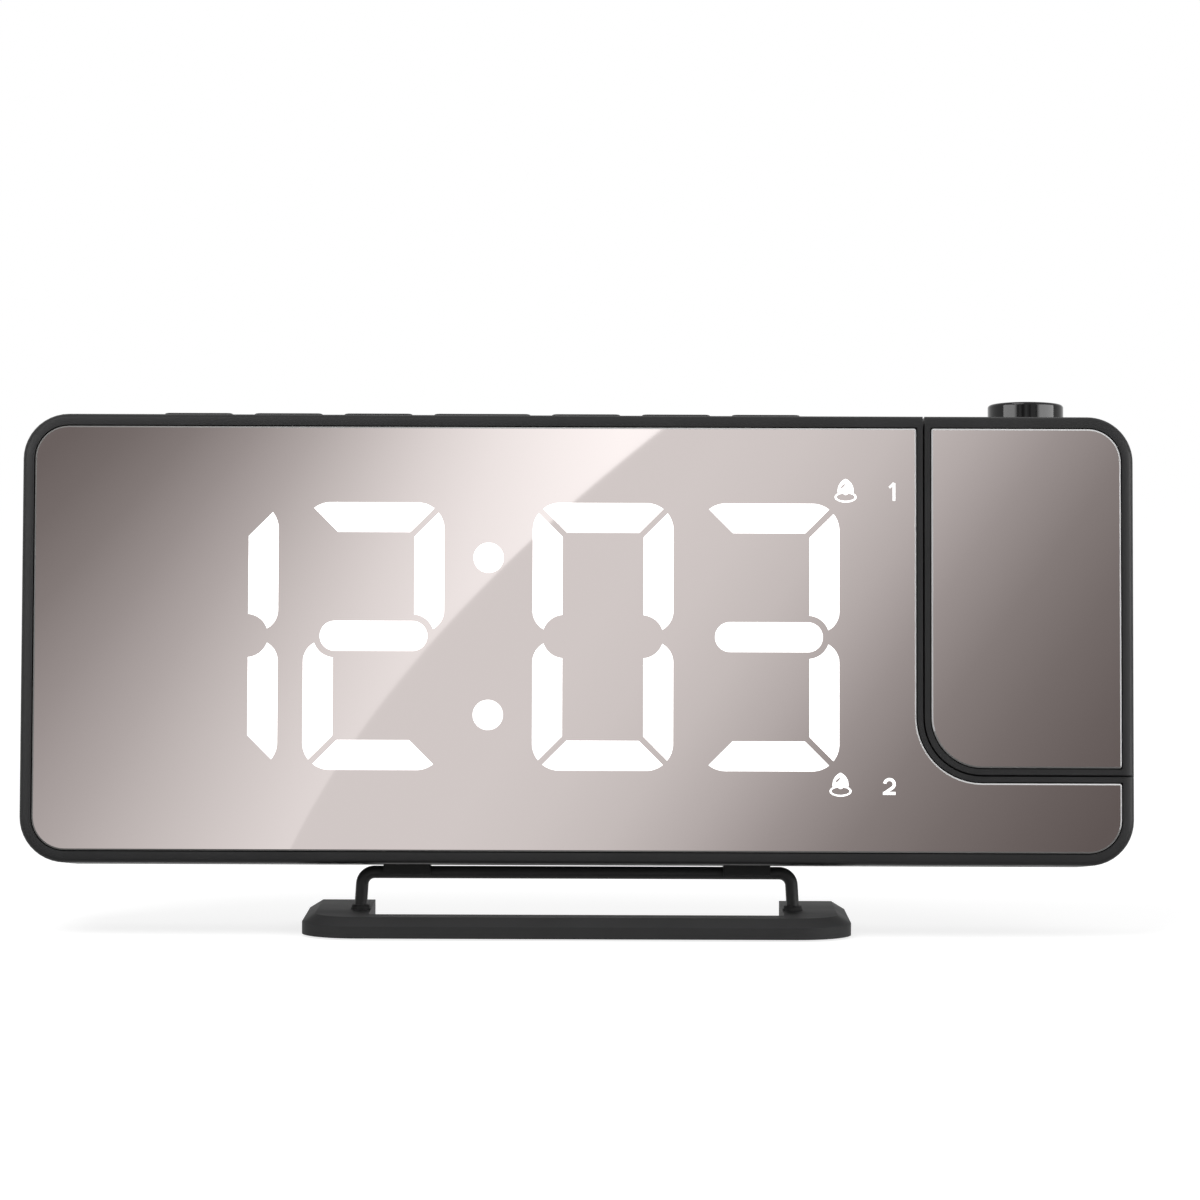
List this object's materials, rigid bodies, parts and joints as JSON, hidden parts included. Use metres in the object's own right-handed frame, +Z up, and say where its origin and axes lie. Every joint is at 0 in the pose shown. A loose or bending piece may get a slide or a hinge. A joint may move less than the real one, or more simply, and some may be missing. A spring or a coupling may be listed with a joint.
{
  "type": "projection alarm clock",
  "caption": "Leaning alarm clock with a mirror-front segment display, top keys, a turning projector head with focus ring, and a rod bail on a U-shaped foot.",
  "frame": {"origin": "middle of the whole clock in x and y, on the surface it stands on", "axes": "+X to the right seen from the front, front faces -Y, +Z up"},
  "size_m": [0.188, 0.0362, 0.0908],
  "materials": {
    "black_plastic": "fine-grained black moulded plastic",
    "gloss_black": "smooth glossy black plastic",
    "mirror_lens": "warm grey half-silvered acrylic",
    "bail_rod": "black painted steel rod",
    "rubber": "matt rubber",
    "white_plastic": "white moulded plastic",
    "diffuser": "milky film",
    "circuit_board": "green solder mask",
    "led_package": "pale diode packages",
    "switch_metal": "steel switch covers",
    "speaker_parts": "black speaker",
    "cell_steel": "nickel-plated steel",
    "socket_plastic": "black socket plastic",
    "bush_plastic": "natural acetal",
    "optics_plastic": "matt black plastic",
    "clear_lens": "clear lens",
    "red_lamp": "red diode",
    "lcd_glass": "dark display glass",
    "screw_steel": "zinc-plated steel"
  },
  "bodies": {
    "stand": {"stand_foot": "black_plastic", "foot_pads": "rubber", "bail": "bail_rod"},
    "clock": {"front_frame": "black_plastic", "main_mirror": "mirror_lens", "rear_housing": "black_plastic", "hinge_bush": "bush_plastic", "wave_washer": "cell_steel", "diffuser_film": "diffuser", "display_reflector": "white_plastic", "segment_leds": "led_package", "main_board": "circuit_board", "board_screws": "screw_steel", "button_board": "circuit_board", "key_switches": "switch_metal", "speaker": "speaker_parts", "coin_cell": "cell_steel", "cell_contacts": "cell_steel", "power_board": "circuit_board", "dc_jack": "socket_plastic", "usb_shell": "cell_steel", "usb_tongue": "socket_plastic", "housing_screws": "screw_steel"},
    "head": {"head_front_frame": "black_plastic", "head_mirror": "mirror_lens", "head_rear_shell": "black_plastic", "hinge_shaft": "cell_steel", "shaft_clip": "cell_steel", "lens_tube": "optics_plastic", "optics_carrier": "optics_plastic", "lamp_board": "circuit_board", "projector_lamp": "red_lamp", "condenser_lens": "clear_lens", "time_cell": "lcd_glass", "head_screws": "screw_steel"},
    "focus_ring": {"focus_ring": "gloss_black"},
    "lens_cell": {"lens_cell": "optics_plastic", "projection_lens": "clear_lens"},
    "battery_cap": {"battery_cap": "black_plastic"},
    "button_1": {"button_1": "black_plastic"},
    "button_2": {"button_2": "black_plastic"},
    "button_3": {"button_3": "black_plastic"},
    "snooze_button": {"snooze_button": "black_plastic"},
    "button_5": {"button_5": "black_plastic"},
    "button_6": {"button_6": "black_plastic"},
    "button_7": {"button_7": "black_plastic"}
  },
  "joints": [
    {"name": "stand_tilt", "type": "hinge", "parent": "stand", "child": "clock", "pos_m": [0, -0.00238, 0.01005], "axis": [1, 0, 0], "range_deg": [-19, 16]},
    {"name": "projector_tilt", "type": "hinge", "parent": "clock", "child": "head", "pos_m": [0.0587, 0.00252, 0.05672], "axis": [1, 0, 0], "range_deg": [-90, 90]},
    {"name": "focus_turn", "type": "hinge", "parent": "head", "child": "focus_ring", "pos_m": [0.07695, 0.0057, 0.08691], "axis": [0, 0.1045, 0.9945], "range_deg": [0, 120]},
    {"name": "lens_slide", "type": "slide", "parent": "head", "child": "lens_cell", "axis": [0, 0.1045, 0.9945], "range_m": [0, 0.002]},
    {"name": "battery_cap_turn", "type": "hinge", "parent": "clock", "child": "battery_cap", "pos_m": [0.022, 0.01486, 0.04974], "axis": [0, 0.9945, -0.1045], "range_deg": [0, 45]},
    {"name": "button_1_press", "type": "slide", "parent": "clock", "child": "button_1", "axis": [0, -0.1045, -0.9945], "range_m": [0, 0.0006], "stiffness_N_per_m": 1500},
    {"name": "button_2_press", "type": "slide", "parent": "clock", "child": "button_2", "axis": [0, -0.1045, -0.9945], "range_m": [0, 0.0006], "stiffness_N_per_m": 1500},
    {"name": "button_3_press", "type": "slide", "parent": "clock", "child": "button_3", "axis": [0, -0.1045, -0.9945], "range_m": [0, 0.0006], "stiffness_N_per_m": 1500},
    {"name": "snooze_button_press", "type": "slide", "parent": "clock", "child": "snooze_button", "axis": [0, -0.1045, -0.9945], "range_m": [0, 0.0006], "stiffness_N_per_m": 1500},
    {"name": "button_5_press", "type": "slide", "parent": "clock", "child": "button_5", "axis": [0, -0.1045, -0.9945], "range_m": [0, 0.0006], "stiffness_N_per_m": 1500},
    {"name": "button_6_press", "type": "slide", "parent": "clock", "child": "button_6", "axis": [0, -0.1045, -0.9945], "range_m": [0, 0.0006], "stiffness_N_per_m": 1500},
    {"name": "button_7_press", "type": "slide", "parent": "clock", "child": "button_7", "axis": [0, -0.1045, -0.9945], "range_m": [0, 0.0006], "stiffness_N_per_m": 1500}
  ],
  "couplings": [
    {"joint": "focus_turn", "follows": "lens_slide", "rad_per_m": 1047.2}
  ]
}
